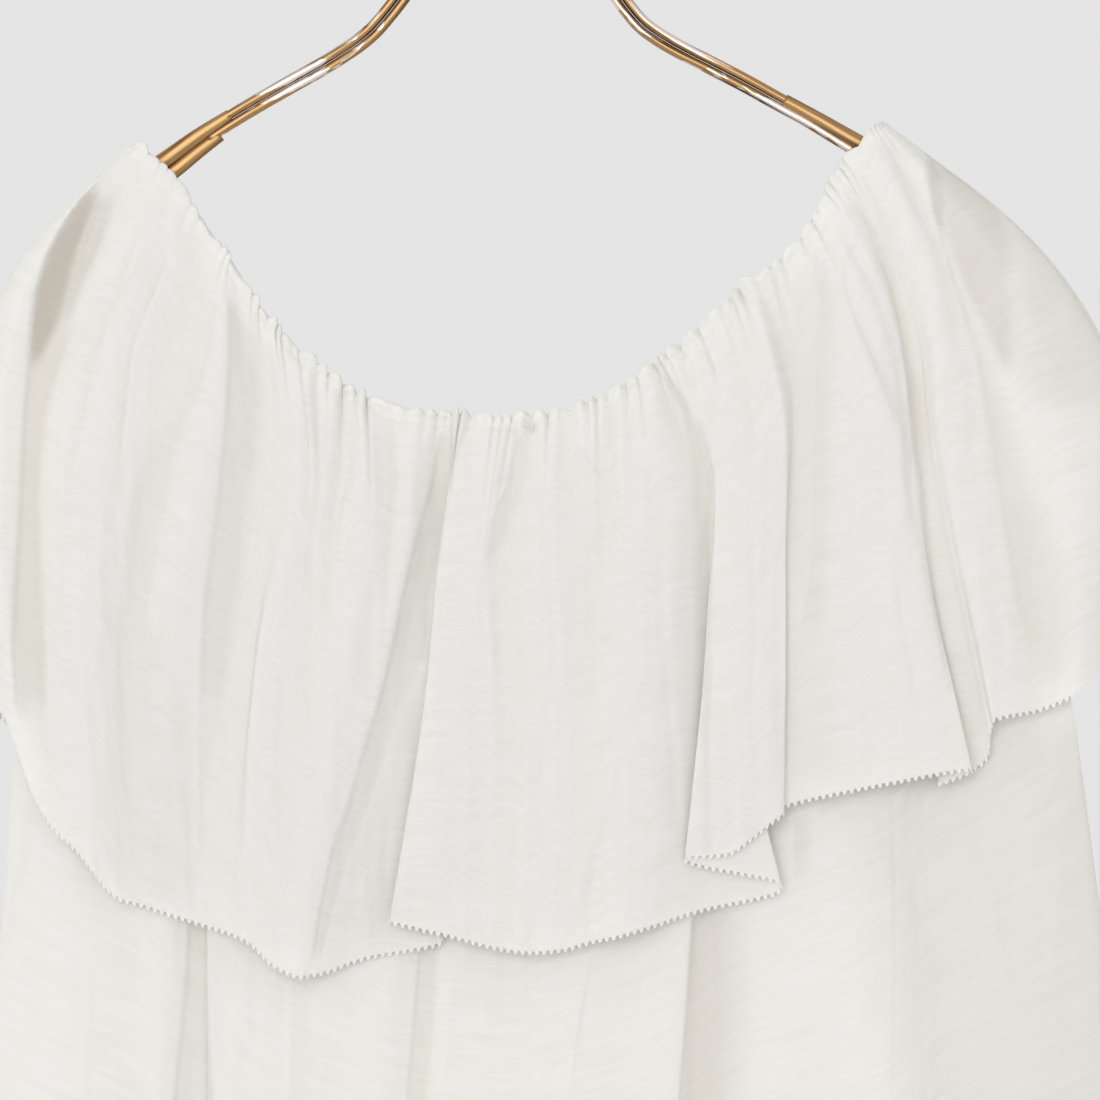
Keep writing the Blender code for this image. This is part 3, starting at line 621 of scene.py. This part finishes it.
def gathered(panel, at, v):
    """The draped panel with its gathers, the elastic's pinched line and its pressed creases."""
    points = drape(panel, at, v)
    last = panel.folds[-1].gather
    count = at / last * panel.neck_gathers
    wave, depth = gather_wave(count)
    wave, depth = wave[:, None], depth[:, None]
    inside = np.clip(np.minimum(at, last - at) / last * 30.0, 0.0, 1.0)[:, None]
    shoulders = np.interp(points[:, 0, 0], GATHER_X, GATHER_STRENGTH)[:, None]
    strength = inside * shoulders
    down = np.linalg.norm(points - points[:, :1], axis=2)
    run = (8.0 + 42.0 * uneven(count, 4.3) ** 2)[:, None] * (0.4 + 0.6 * shoulders)
    long_wave = np.cos(2 * math.pi * count / 2.6 + 1.9 * np.sin(count / 3.1))[:, None]
    long_run = (35.0 + 60.0 * uneven(count / 2.6, 9.1))[:, None]
    deep = 2.0 * depth * wave * np.exp(-down / run)
    deep += 1.6 * long_wave * np.exp(-((down / long_run) ** 2)) * (1.0 - np.exp(-down / 10.0))
    deep += 0.5 * np.cos(9.1 * count + 2.0)[:, None] * np.exp(-down / 9.0)
    points[:, :, 1] += strength * deep
    if panel.top is flounce_top:
        pinch = np.exp(-(((down - 5.0) / 2.4) ** 2))
        points[:, :, 1] -= 2.0 * strength * pinch
        slope = neck_slope(points[:, 0, 0])[:, None]
        lobes = 1.3 * np.cos(2 * math.pi * count / 3.4 + 2.0 * np.sin(count / 2.3))[:, None]
        ruffle = 0.9 + (0.4 + shoulders) * 1.45 * depth * wave + lobes * (1.3 - shoulders)
        ruffle = ruffle * inside * np.exp(-down / 4.5) / np.hypot(1.0, slope)
        ruffle = ruffle * (1.0 if panel.side < 0 else BACK_RUFFLE)
        points[:, :, 0] -= slope * ruffle
        points[:, :, 2] += ruffle
    points[:, :, 1] += crease_rise(panel.creases, points[:, :, 0], points[:, :, 2])
    calm = 0.45 if panel.armholes else 0.75
    waves = calm * ripples(points[:, :, 0], points[:, :, 2])
    points[:, :, 1] += inside * waves * (1.0 - np.exp(-down / 12.0))
    dips = [band for band in panel.bands if not band.name.endswith("tone")]
    dipped = band_amounts(dips, points[:, :, 0], points[:, :, 2])
    points[:, :, 1] -= BAND_DIP * np.minimum(dipped, 1.5)
    points[:, :, 1] = np.maximum(points[:, :, 1], SEAM_DEPTH)
    return points


def rolled_edge(panel, points, at, rows=7, radius=2.1):
    """Rows that carry the neck's edge over and down behind, from the hidden end to the front."""
    top = points[:, 0].copy()
    wave, depth = gather_wave(at / panel.folds[-1].gather * panel.neck_gathers)
    size = np.minimum(radius * (1.0 + 0.25 * depth * wave), top[:, 1] / 3.0)
    turned = []
    for k in range(rows):
        angle = math.radians(165.0 * (rows - k) / rows)
        row = top.copy()
        row[:, 1] += size * (math.cos(angle) - 1.0)
        row[:, 2] += size * math.sin(angle)
        turned.append(row)
    lowered = points.copy()
    lowered[:, :, 2] -= size[:, None] * np.exp(-np.arange(points.shape[1]) / 3.0)
    turned = np.stack(turned, axis=1)
    turned[:, :, 2] -= size[:, None]
    return np.concatenate([turned, lowered], axis=1)


def furrow_depth(points):
    """From 0 on ridges to 1 in furrows, by how far the cloth lies behind its surroundings.

    It sets how much painted shade the furrows get.
    """
    columns = points.shape[0]
    across = np.linalg.norm(np.diff(points[:, points.shape[1] // 2], axis=0), axis=1).mean()
    reach = max(2, int(FOLD_REACH / across))
    weight = np.hanning(2 * reach + 1)
    weight /= weight.sum()
    depth = np.pad(points[:, :, 1], ((reach, reach), (0, 0)), mode="edge")
    mean = np.stack([np.convolve(row, weight, mode="valid") for row in depth.T], axis=1)
    return np.clip((mean - points[:, :, 1]) / FOLD_DEPTH, 0.0, 1.0)


def grid_mesh(name, points, side, material, thickness, shade_and_wear=()):
    """A shell through the points, columns by rows, with its map in metres and its tones.

    The tones are amounts of painted shade on the cloth and of wear on the metal.
    """
    columns, rows = points.shape[:2]
    bm = bmesh.new()
    bmesh.ops.create_grid(bm, x_segments=columns - 1, y_segments=rows - 1, size=0.5, calc_uvs=False)
    mesh = bpy.data.meshes.new(name)
    bm.to_mesh(mesh)
    bm.free()
    flat = np.empty(len(mesh.vertices) * 3, np.float32)
    mesh.vertices.foreach_get("co", flat)
    flat = flat.reshape(-1, 3)
    i = np.rint((flat[:, 0] + 0.5) * (columns - 1)).astype(int)
    j = np.rint((0.5 - flat[:, 1]) * (rows - 1)).astype(int)
    placed = points[i, j] * MM
    placed[:, 1] *= side
    mesh.vertices.foreach_set("co", placed.astype(np.float32).ravel())
    across = np.linalg.norm(np.diff(points[:, rows // 2], axis=0), axis=1)
    across = np.concatenate([[0.0], np.cumsum(across)]) * MM
    down = np.linalg.norm(np.diff(points, axis=1), axis=2)
    down = np.concatenate([np.zeros((columns, 1)), np.cumsum(down, axis=1)], axis=1) * MM
    loops = np.empty(len(mesh.loops), np.int32)
    mesh.loops.foreach_get("vertex_index", loops)
    weave = np.stack([across[i[loops]], down[i[loops], j[loops]]], axis=1)
    mesh.uv_layers.new(name="weave").data.foreach_set("uv", weave.astype(np.float32).ravel())
    for key, amount in shade_and_wear:
        layer = mesh.attributes.new(key, "FLOAT", "POINT")
        layer.data.foreach_set("value", amount[i, j].astype(np.float32))
    if side > 0:
        mesh.flip_normals()
    mesh.polygons.foreach_set("use_smooth", np.ones(len(mesh.polygons), bool))
    if thickness:
        ends = np.empty(len(mesh.edges) * 2, np.int32)
        mesh.edges.foreach_get("vertices", ends)
        a, b = ends.reshape(-1, 2).T
        border = (j[a] == j[b]) & ((j[a] == 0) | (j[a] == rows - 1))
        border |= (i[a] == i[b]) & ((i[a] == 0) | (i[a] == columns - 1))
        mesh.edges.foreach_set("use_edge_sharp", border)
    mesh.update()
    obj = link(name, mesh, material)
    if thickness:
        wall = obj.modifiers.new("wall", "SOLIDIFY")
        wall.thickness = thickness * MM
        wall.offset = 0.0
    return obj


def link(name, data, material):
    obj = bpy.data.objects.new(name, data)
    data.materials.append(material)
    top.objects.link(obj)
    return obj


def rows_down(count, lead):
    """Row places from 0 to 1, closer together near the neck."""
    t = np.linspace(0.0, 1.0, count - 3)
    places = lead * t + (1.0 - lead) * t**2
    return np.concatenate([places[:-1], HEM_STITCHES, places[-1:]])


def even_columns(panel, count):
    """Gather places spread evenly along the cloth at mid height."""
    dense = np.linspace(panel.folds[0].gather, panel.folds[-1].gather, 4000)
    line = drape(panel, dense, np.array([0.0, 0.6]))
    neck = np.linalg.norm(np.diff(line[:, 0], axis=0), axis=1)
    middle = np.linalg.norm(np.diff(line[:, 1], axis=0), axis=1)
    length = np.concatenate([[0.0], np.cumsum(middle / middle.sum() + neck / neck.sum())])
    return np.interp(np.linspace(0.0, length[-1], count), length, dense)


def panel_cloth(name, columns, rows, material):
    panel = PANELS[name]
    at = even_columns(panel, columns)
    points = gathered(panel, at, rows_down(rows, 0.22))
    if panel.top is flounce_top:
        points = rolled_edge(panel, points, at)
    cloth_name = name.replace("flounce", "flounce_cloth").replace("body", "body_cloth")
    # Painted shade: a cream tint that deepens into the furrows and a grey tint in the listed bands
    grey_shade = band_amounts(panel.bands, points[:, :, 0], points[:, :, 2])
    shade_and_wear = (("furrow_shade", furrow_depth(points)), ("grey_shade", grey_shade))
    obj = grid_mesh(cloth_name, points, panel.side, material, CLOTH, shade_and_wear)
    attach(obj, "root")
    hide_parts(name)
    return obj


def picot(name, panel, pitch, height, material):
    """The hem's picot edging: a narrow turned strip with small rounded teeth."""
    last = panel.folds[-1].gather
    dense = np.linspace(0.0, last, 6000)
    hem = drape(panel, dense, np.array([0.5, 1.0]))[:, 1]
    length = np.concatenate([[0.0], np.cumsum(np.linalg.norm(np.diff(hem, axis=0), axis=1))])
    teeth = int(length[-1] / pitch)
    profile = np.array((0.12, 0.16, 0.9, 1.0, 0.9, 0.16))
    per_tooth = len(profile)
    at = np.interp(np.linspace(0.0, length[-1], teeth * per_tooth + 1), length, dense)
    points = gathered(panel, at, np.array([0.0, 0.99, 1.0]))[:, 1:]
    fall = points[:, 1] - points[:, 0]
    fall /= np.maximum(np.linalg.norm(fall, axis=1), 1e-6)[:, None]
    tooth = height * profile[np.arange(len(at)) % per_tooth]
    reach = [np.full_like(tooth, 0.03), np.full_like(tooth, 0.3), 0.3 + 0.6 * tooth, 0.3 + tooth]
    strip = np.stack([points[:, 1] + fall * r[:, None] for r in reach], axis=1)
    obj = grid_mesh(name, strip, panel.side, material, CLOTH)
    obj.data.polygons.foreach_set("use_smooth", np.zeros(len(obj.data.polygons), bool))
    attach(obj, "root")
    return obj


def closed_tube(name, rings, side, material, replaced, shade_and_wear=()):
    """A tube through rings of points that repeat their first one, with both ends filled."""
    obj = grid_mesh(name, rings, side, material, 0.0, shade_and_wear)
    bm = bmesh.new()
    bm.from_mesh(obj.data)
    bmesh.ops.remove_doubles(bm, verts=bm.verts, dist=1e-6)
    bmesh.ops.holes_fill(bm, edges=[e for e in bm.edges if e.is_boundary], sides=0)
    bmesh.ops.recalc_face_normals(bm, faces=bm.faces)
    for face in bm.faces:
        face.smooth = len(face.verts) == 4
    bm.to_mesh(obj.data)
    bm.free()
    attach(obj, "root")
    if replaced:
        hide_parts(replaced)
    return obj


def neck_roll(name, side, gathers, material):
    """The elastic's casing: a soft roll, pinched by its gathers, around the inside of the neck."""
    low, high = NECKLINE[0].x + 3.0, NECKLINE[-1].x - 3.0
    x = np.linspace(low, high, 9 * gathers + 1)
    px, pz = below_neck(x, 8.2)
    px = np.where(np.abs(x - px) > 40, x, px)
    path = np.stack([px, turned_depth(x, low, high, BAND_DEPTH), pz], axis=1)
    path[:, 1] = np.maximum(path[:, 1], 4.4)
    slope = neck_slope(x)
    length = np.hypot(1.0, slope)
    outward = np.stack([-slope / length, np.zeros_like(x), 1.0 / length], axis=1)
    wave, depth = gather_wave(np.linspace(0.0, gathers, len(x)))
    radius = 3.4 * (1.0 + 0.10 * depth * wave)
    rings = []
    for k in range(17):
        angle = 2 * math.pi * k / 16
        ring = path + outward * (radius * math.cos(angle))[:, None]
        ring[:, 1] += radius * 1.05 * math.sin(angle)
        rings.append(ring)
    replaced = name.replace("neck_roll", "neck_band")
    return closed_tube(name, np.stack(rings, axis=1), side, material, replaced)


def neck_knot(material):
    """A knotted end of the elastic's thread that shows in the middle of the front neckline."""
    route = [(5.8, -375.6), (7.0, -377.4), (9.0, -377.0), (10.6, -378.6), (10.2, -380.4)]
    line = through(route, 24)
    depth = FLOUNCE_NECK_DEPTH + 2.6 + 0.5 * np.sin(np.linspace(0.0, 6.0, 24))
    rings = []
    for k in range(9):
        angle = 2 * math.pi * k / 8
        rings.append(np.column_stack([
            line[:, 0] + 0.55 * math.cos(angle),
            depth + 0.55 * math.sin(angle),
            line[:, 1] + 0.55 * math.cos(angle),
        ]))
    # The knot takes the cloth's painted shade tints at set amounts: the full cream one and some
    # grey
    shade_and_wear = (("furrow_shade", np.ones((24, 9))), ("grey_shade", np.full((24, 9), 1.5)))
    closed_tube("neck_knot", np.stack(rings, axis=1), -1, material, None, shade_and_wear)


def through(points, count):
    """Evenly spaced points on a smooth curve through the given ones."""
    points = np.asarray(points, float)
    lengths = np.concatenate([[0.0], np.cumsum(np.linalg.norm(np.diff(points, axis=0), axis=1))])
    return smooth(lengths, points, np.linspace(0, lengths[-1], count))


def beside(points, offset):
    """The same route moved sideways in the hanger's plane."""
    ahead = np.gradient(points, axis=0)
    ahead /= np.linalg.norm(ahead, axis=1)[:, None]
    return points + offset * np.column_stack([-ahead[:, 1], ahead[:, 0]])


def bar(node_name, route, halves, material, part="metal", rubbed=1.0, flat=1.0, sides=24):
    """A metal bar along a route in the hanger's plane."""
    halves = np.broadcast_to(halves, len(route))
    ahead = np.gradient(route, axis=0)
    ahead /= np.linalg.norm(ahead, axis=1)[:, None]
    rings = []
    for k in range(sides + 1):
        angle = 2 * math.pi * k / sides
        over = halves * math.cos(angle)
        rings.append(
            np.stack(
                [
                    route[:, 0] - ahead[:, 1] * over,
                    halves * flat * math.sin(angle),
                    route[:, 1] + ahead[:, 0] * over,
                ],
                axis=1,
            )
        )
    rings = np.stack(rings, axis=1)
    shade_and_wear = (("rubbed", np.full(rings.shape[:2], rubbed)),)
    return closed_tube(f"{node_name}_{part}", rings, -1, material, node_name, shade_and_wear)


def hanger(material):
    """Hook, collar, the paired rods of each arm and the sleeves at the shoulders."""
    turns = np.radians(np.arange(-35, 196, 6))
    arc = np.column_stack([np.cos(turns), np.sin(turns)]) * HOOK_RADIUS
    arc[:, 1] -= HOOK_RADIUS - ROD_RADIUS - 0.1
    stem = through([(0, COLLAR_TOP), (0, -52), (6, -43), arc[0]], 12)
    bar("hanger_hook", np.concatenate([stem[:-1], arc]), ROD_RADIUS, material)
    heights = (COLLAR_BOTTOM, COLLAR_BOTTOM + 1, COLLAR_TOP - 1, COLLAR_TOP)
    collar = np.array([(0, z) for z in heights])
    bar("hanger_collar", collar, np.array([5.9, 6.5, 6.5, 5.9]), material)
    left, right = through(LEFT_ARM, 64), through(RIGHT_ARM, 64)
    half = ROD_SPACING / 2
    for node_name, route, way in (
        ("hanger_rod_upper_left", beside(left, half), -1),
        ("hanger_rod_upper_right", beside(right, -half), 1),
    ):
        ends = [(2.6 * way, COLLAR_BOTTOM - 3.0), (2.6 * way, COLLAR_BOTTOM)]
        bar(node_name, through([*route[::3], *ends], 80), ROD_RADIUS, material)
    lower = [*beside(left, -half)[::3], (0.0, -85.5), *beside(right, half)[::-3], *RIGHT_ROD_END]
    bar("hanger_rod_lower", through(lower, 170), ROD_RADIUS, material)
    sleeve = through(LEFT_SLEEVE, 40)
    line, size = sleeve[:, :2], sleeve[:, 2]
    upper = beside(line, -0.42 * size[:, None])
    bar("hanger_sleeve_left", upper, 0.58 * size, material, "upper", 0.0, 0.7)
    line, size = beside(line, 0.52 * size[:, None])[5:], 0.48 * size[5:]
    bar("hanger_sleeve_left", line, size, material, "lower", 0.0, 0.7)
    sleeve = through(RIGHT_SLEEVE, 40)
    bar("hanger_sleeve_right", sleeve[:, :2], sleeve[:, 2], material, "metal", 0.0, 0.85)


def principled(name, colour, roughness, metallic=0.0):
    material = bpy.data.materials.new(name)
    material.use_nodes = True
    shader = material.node_tree.nodes["Principled BSDF"]
    shader.inputs["Base Color"].default_value = (*colour, 1.0)
    shader.inputs["Roughness"].default_value = roughness
    shader.inputs["Metallic"].default_value = metallic
    return material, shader


def node(tree, kind, **settings):
    made = tree.nodes.new(kind)
    for key, value in settings.items():
        if key in made.inputs:
            made.inputs[key].default_value = value
        else:
            setattr(made, key, value)
    return made


def tinted(tree, colour, key, full, towards):
    """The colour, multiplied towards another one, which it reaches where the attribute is full."""
    amount = node(tree, "ShaderNodeAttribute", attribute_name=key)
    share = node(tree, "ShaderNodeMath", operation="DIVIDE", use_clamp=True)
    share.inputs[1].default_value = full
    mixed = node(tree, "ShaderNodeMixRGB", blend_type="MULTIPLY", Color2=towards)
    tree.links.new(amount.outputs["Fac"], share.inputs[0])
    tree.links.new(share.outputs[0], mixed.inputs["Fac"])
    tree.links.new(colour, mixed.inputs["Color1"])
    return mixed.outputs["Color"]


def linen_material():
    """Thin ivory cotton and linen: a plain weave with slubs across, slightly see-through."""
    material, shader = principled("ivory_linen", (0.90, 0.885, 0.845), 0.85)
    tree = material.node_tree
    links = tree.links
    shader.inputs["Specular IOR Level"].default_value = 0.0
    weave = node(tree, "ShaderNodeUVMap", uv_map="weave")
    across = node(tree, "ShaderNodeMapping")
    across.inputs["Scale"].default_value = (60.0, 1500.0, 1.0)
    slubs = node(tree, "ShaderNodeTexNoise", Scale=1.0, Detail=1.0, Roughness=0.55)
    wide = node(tree, "ShaderNodeMapping")
    wide.inputs["Scale"].default_value = (25.0, 420.0, 1.0)
    bars = node(tree, "ShaderNodeTexNoise", Scale=1.0, Detail=1.0, Roughness=0.6)
    for mapping, noise in ((across, slubs), (wide, bars)):
        links.new(weave.outputs["UV"], mapping.inputs["Vector"])
        links.new(mapping.outputs["Vector"], noise.inputs["Vector"])
    relief = node(tree, "ShaderNodeMath", operation="ADD")
    links.new(slubs.outputs["Fac"], relief.inputs[0])
    links.new(bars.outputs["Fac"], relief.inputs[1])
    tone = node(tree, "ShaderNodeValToRGB")
    tone.color_ramp.elements[0].position = 0.75 / 2
    tone.color_ramp.elements[0].color = (0.91, 0.898, 0.862, 1.0)
    tone.color_ramp.elements[1].position = 1.25 / 2
    tone.color_ramp.elements[1].color = (0.965, 0.957, 0.935, 1.0)
    mean = node(tree, "ShaderNodeMath", operation="MULTIPLY")
    mean.inputs[1].default_value = 0.5
    links.new(relief.outputs[0], mean.inputs[0])
    links.new(mean.outputs[0], tone.inputs["Fac"])
    # Painted shade: the cream tint deepens into the furrows, the grey one fills the bands
    furrow_shaded = tinted(tree, tone.outputs["Color"], "furrow_shade", 1.0, (0.98, 0.965, 0.92, 1.0))
    grey_shaded = tinted(tree, furrow_shaded, "grey_shade", 7.0, (0.60, 0.555, 0.50, 1.0))
    links.new(grey_shaded, shader.inputs["Base Color"])
    bump = node(tree, "ShaderNodeBump", Strength=0.35, Distance=0.0002)
    links.new(relief.outputs[0], bump.inputs["Height"])
    crumple = node(tree, "ShaderNodeMapping")
    crumple.inputs["Scale"].default_value = (95.0, 60.0, 1.0)
    soft = node(tree, "ShaderNodeTexNoise", Scale=1.0, Detail=0.0)
    links.new(weave.outputs["UV"], crumple.inputs["Vector"])
    links.new(crumple.outputs["Vector"], soft.inputs["Vector"])
    creased = node(tree, "ShaderNodeBump", Strength=0.5, Distance=0.0016)
    links.new(soft.outputs["Fac"], creased.inputs["Height"])
    links.new(bump.outputs["Normal"], creased.inputs["Normal"])
    links.new(creased.outputs["Normal"], shader.inputs["Normal"])
    glow = node(tree, "ShaderNodeBsdfTranslucent", Color=(0.975, 0.968, 0.945, 1.0))
    sheer = node(tree, "ShaderNodeMixShader", Fac=0.36)
    links.new(shader.outputs["BSDF"], sheer.inputs[1])
    links.new(glow.outputs["BSDF"], sheer.inputs[2])
    links.new(sheer.outputs["Shader"], tree.nodes["Material Output"].inputs["Surface"])
    return material


def gold_material():
    """Worn gold plating, rubbed to silver in streaks along the metal.

    Dark lines along the metal are painted reflections.
    """
    material, shader = principled("worn_gold", GOLD, 0.3, 1.0)
    tree = material.node_tree
    links = tree.links
    route = node(tree, "ShaderNodeUVMap", uv_map="weave")
    streaks = node(tree, "ShaderNodeMapping")
    streaks.inputs["Scale"].default_value = (12.0, 150.0, 1.0)
    place = node(tree, "ShaderNodeTexCoord")
    spread = node(tree, "ShaderNodeVectorMath", operation="SCALE")
    spread.inputs["Scale"].default_value = 18.0
    both = node(tree, "ShaderNodeVectorMath", operation="ADD")
    links.new(route.outputs["UV"], streaks.inputs["Vector"])
    links.new(place.outputs["Object"], spread.inputs[0])
    links.new(streaks.outputs["Vector"], both.inputs[0])
    links.new(spread.outputs[0], both.inputs[1])
    patches = node(tree, "ShaderNodeTexNoise", Scale=1.0, Detail=3.0, Roughness=0.6)
    links.new(both.outputs[0], patches.inputs["Vector"])
    rubbed = node(tree, "ShaderNodeAttribute", attribute_name="rubbed")
    where = node(tree, "ShaderNodeMath", operation="MULTIPLY")
    links.new(patches.outputs["Fac"], where.inputs[0])
    links.new(rubbed.outputs["Fac"], where.inputs[1])
    worn = node(tree, "ShaderNodeValToRGB")
    worn.color_ramp.elements[0].position = 0.50
    worn.color_ramp.elements[0].color = (*GOLD, 1.0)
    worn.color_ramp.elements[1].position = 0.52
    worn.color_ramp.elements[1].color = (0.86, 0.75, 0.69, 1.0)
    links.new(where.outputs[0], worn.inputs["Fac"])
    # Painted reflection: dark lines along the metal, multiplied into its colour in place of dark
    # reflections
    dark_reflection_map = node(tree, "ShaderNodeMapping")
    dark_reflection_map.inputs["Scale"].default_value = (7.0, 250.0, 1.0)
    dark_reflection_noise = node(tree, "ShaderNodeTexNoise", Scale=1.0, Detail=3.0, Roughness=0.6)
    links.new(route.outputs["UV"], dark_reflection_map.inputs["Vector"])
    links.new(dark_reflection_map.outputs["Vector"], dark_reflection_noise.inputs["Vector"])
    painted_dark_reflections = node(tree, "ShaderNodeValToRGB")
    painted_dark_reflections.color_ramp.elements[0].position = 0.38
    painted_dark_reflections.color_ramp.elements[0].color = (0.22, 0.18, 0.15, 1.0)
    painted_dark_reflections.color_ramp.elements[1].position = 0.52
    painted_dark_reflections.color_ramp.elements[1].color = (1.0, 1.0, 1.0, 1.0)
    links.new(dark_reflection_noise.outputs["Fac"], painted_dark_reflections.inputs["Fac"])
    mixed = node(tree, "ShaderNodeMixRGB", blend_type="MULTIPLY", Fac=1.0)
    links.new(worn.outputs["Color"], mixed.inputs["Color1"])
    links.new(painted_dark_reflections.outputs["Color"], mixed.inputs["Color2"])
    links.new(mixed.outputs["Color"], shader.inputs["Base Color"])
    return material


def flat_sheet(name, half, place, material):
    """A stretch of floor, which isn't part of the object."""
    bm = bmesh.new()
    bmesh.ops.create_grid(bm, x_segments=1, y_segments=1, size=half, matrix=place)
    mesh = bpy.data.meshes.new(name)
    bm.to_mesh(mesh)
    bm.free()
    mesh.materials.append(material)
    obj = bpy.data.objects.new(name, mesh)
    bpy.context.scene.collection.objects.link(obj)


def studio():
    """Pale floor and surroundings, soft light from the upper left and behind, and the camera."""
    scene = bpy.context.scene
    scene.view_settings.view_transform = "Standard"
    world = bpy.data.worlds.new("studio")
    world.use_nodes = True
    tree = world.node_tree
    tree.nodes["Background"].inputs["Color"].default_value = (1.0, 1.0, 1.0, 1.0)
    tree.nodes["Background"].inputs["Strength"].default_value = WORLD_LIGHT
    scene.world = world
    suns = (("key", SUN_LIGHT, SUN_TOWARDS), ("back", BACK_LIGHT, BACK_TOWARDS))
    for name, energy, towards in suns:
        sun = bpy.data.lights.new(name, "SUN")
        sun.energy = energy
        sun.angle = math.radians(SUN_ANGLE)
        lamp = bpy.data.objects.new(name, sun)
        lamp.rotation_euler = Vector(towards).to_track_quat("-Z", "Y").to_euler()
        scene.collection.objects.link(lamp)
    paint, shader = principled("pale_floor", (0.87, 0.87, 0.87), 0.9)
    shader.inputs["Specular IOR Level"].default_value = 0.0
    flat_sheet("floor", FLOOR_HALF, Matrix.Translation((0.0, 0.0, FLOOR_HEIGHT)), paint)
    data = bpy.data.cameras.new("camera")
    data.lens = CAMERA_LENS
    data.sensor_width = 36.0
    camera = bpy.data.objects.new("camera", data)
    camera.location = CAMERA_PLACE
    camera.rotation_euler = (math.radians(90), 0, 0)
    scene.collection.objects.link(camera)
    scene.camera = camera


top = bpy.data.collections.new("off_shoulder_top_on_hanger")
bpy.context.scene.collection.children.link(top)
linen = linen_material()
gold = gold_material()

front = panel_cloth("flounce_front", 690, 62, linen)
back = panel_cloth("flounce_back", 340, 60, linen)
body = panel_cloth("body_front", 600, 78, linen)
body_back = panel_cloth("body_back", 300, 70, linen)
neck_roll("neck_roll_front", -1, 46, linen)
neck_roll("neck_roll_back", 1, 42, linen)
neck_knot(linen)
edging = picot("hem_edging_front", PANELS["flounce_front"], PICOT_PITCH, PICOT_HEIGHT, linen)
edging_back = picot("hem_edging_back", PANELS["flounce_back"], PICOT_PITCH, PICOT_HEIGHT, linen)
hanger(gold)
studio()
